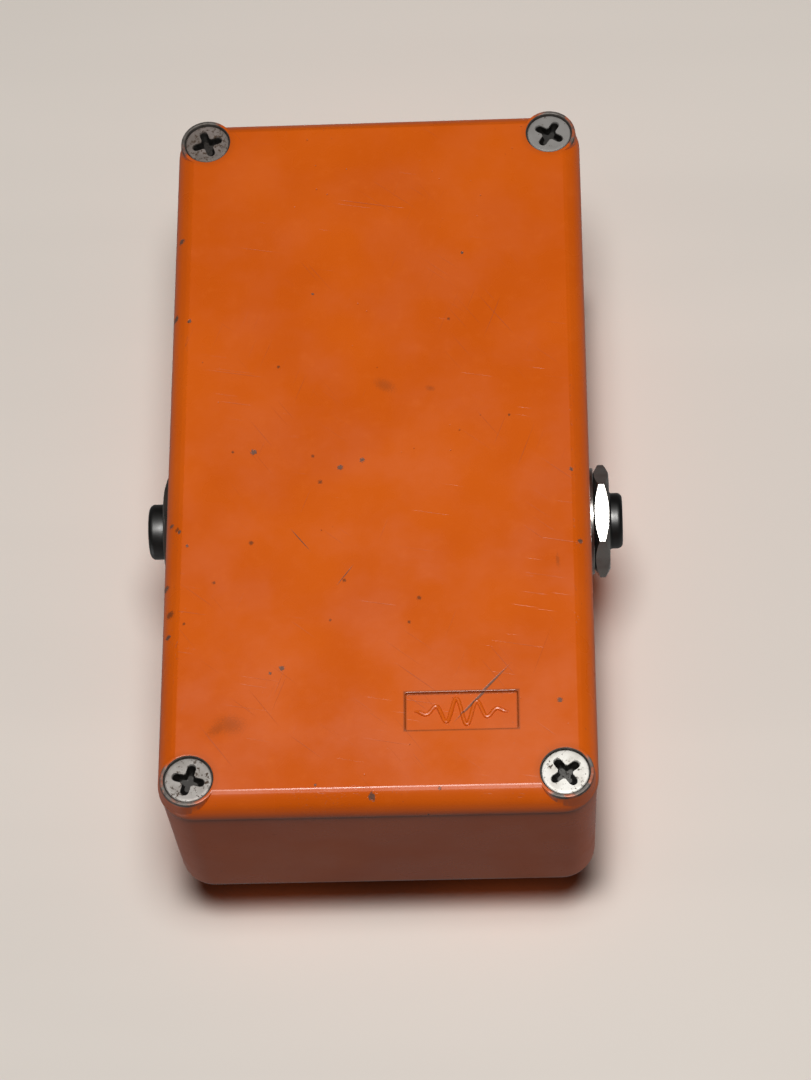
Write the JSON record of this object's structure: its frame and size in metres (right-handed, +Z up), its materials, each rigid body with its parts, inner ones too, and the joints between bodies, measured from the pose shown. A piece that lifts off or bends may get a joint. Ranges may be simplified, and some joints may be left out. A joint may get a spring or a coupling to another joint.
{
  "type": "guitar effects pedal",
  "caption": "Compact guitar effects pedal in a die-cast box, with a footswitch, a rotary knob, side jacks and a screwed base plate.",
  "frame": {"origin": "centre of the base plate's underside, where the pedal stands", "axes": "+Z up through the face, +Y towards the knob end, +X towards the input jack"},
  "size_m": [0.0686, 0.112, 0.0466],
  "materials": {
    "orange_paint": "glossy sprayed enamel over a rough casting, chipped and scratched",
    "zinc_plate": "dulled zinc plating with specks of corrosion",
    "bright_nickel": "bright nickel plating",
    "dark_nickel": "dark, worn nickel plating",
    "yellow_brass": "turned or stamped brass",
    "spring_metal": "plated spring steel",
    "black_knob": "moulded black plastic with a white pointer line",
    "white_nylon": "moulded nylon",
    "brown_phenolic": "paper-based phenolic sheet and moulding",
    "board_laminate": "amber board laminate under a thin solder mask",
    "chip_plastic": "black moulding compound with tinned legs",
    "capacitor_sleeve": "shrunk vinyl sleeve on an aluminium can",
    "film_dip": "dipped resin",
    "trimmer_blue": "moulded blue plastic",
    "battery_jacket": "printed steel jacket in plain bands",
    "black_foam": "open-celled foam",
    "red_vinyl": "wire insulation",
    "black_vinyl": "wire insulation and moulded vinyl",
    "white_vinyl": "wire insulation",
    "green_vinyl": "wire insulation",
    "yellow_vinyl": "wire insulation"
  },
  "bodies": {
    "enclosure": {"enclosure_body": "orange_paint", "pot_bushing": "yellow_brass", "pot_can": "zinc_plate", "pot_wafer": "brown_phenolic", "pot_lug_1": "yellow_brass", "pot_lug_2": "yellow_brass", "pot_lug_3": "yellow_brass", "pot_washer": "bright_nickel", "pot_nut": "bright_nickel", "footswitch_spring": "spring_metal", "footswitch_bushing": "bright_nickel", "footswitch_frame": "zinc_plate", "footswitch_housing": "brown_phenolic", "footswitch_inner_nut": "bright_nickel", "footswitch_washer": "bright_nickel", "footswitch_outer_nut": "bright_nickel", "footswitch_lug_1": "yellow_brass", "footswitch_lug_2": "yellow_brass", "footswitch_lug_3": "yellow_brass", "footswitch_lug_4": "yellow_brass", "footswitch_lug_5": "yellow_brass", "footswitch_lug_6": "yellow_brass", "input_jack_bushing": "dark_nickel", "output_jack_bushing": "dark_nickel", "input_jack_frame": "bright_nickel", "input_jack_washer": "bright_nickel", "input_jack_nut": "bright_nickel", "output_jack_frame": "bright_nickel", "output_jack_washer": "bright_nickel", "output_jack_nut": "bright_nickel", "input_jack_insulator": "brown_phenolic", "output_jack_insulator": "brown_phenolic", "input_jack_tip_contact": "spring_metal", "input_jack_ring_contact": "spring_metal", "output_jack_tip_contact": "spring_metal", "circuit_board": "board_laminate", "op_amp_1": "chip_plastic", "op_amp_2": "chip_plastic", "electrolytic_cap": "capacitor_sleeve", "film_cap": "film_dip", "trimmer_body": "trimmer_blue", "battery": "battery_jacket", "battery_snap": "black_vinyl", "red_lead": "red_vinyl", "black_lead": "black_vinyl", "input_wire": "white_vinyl", "output_wire": "green_vinyl", "board_wire": "yellow_vinyl"},
    "base_plate": {"base_plate": "orange_paint", "lid_screw_1": "zinc_plate", "lid_screw_2": "zinc_plate", "lid_screw_3": "zinc_plate", "lid_screw_4": "zinc_plate", "foam_pad": "black_foam"},
    "knob": {"knob": "black_knob", "knob_set_screw": "zinc_plate", "pot_shaft": "yellow_brass"},
    "footswitch_button": {"footswitch_button": "bright_nickel", "footswitch_plunger": "white_nylon"},
    "trimmer_rotor": {"trimmer_rotor": "white_nylon"}
  },
  "joints": [
    {"name": "knob_turn", "type": "hinge", "parent": "enclosure", "child": "knob", "pos_m": [0, 0.034, 0.04], "axis": [0, 0, 1], "range_deg": [-150, 150]},
    {"name": "footswitch_press", "type": "slide", "parent": "enclosure", "child": "footswitch_button", "axis": [0, 0, -1], "range_m": [0, 0.0026], "stiffness_N_per_m": 3500, "springref_m": -0.0015, "deforming": ["footswitch_spring"]},
    {"name": "base_plate_lift_off", "type": "slide", "parent": "enclosure", "child": "base_plate", "axis": [0, 0, -1], "range_m": [0, 0.045]},
    {"name": "trimmer_turn", "type": "hinge", "parent": "enclosure", "child": "trimmer_rotor", "pos_m": [0.019, 0.0225, 0.0085], "axis": [0, 0, -1], "range_deg": [-130, 130]}
  ]
}
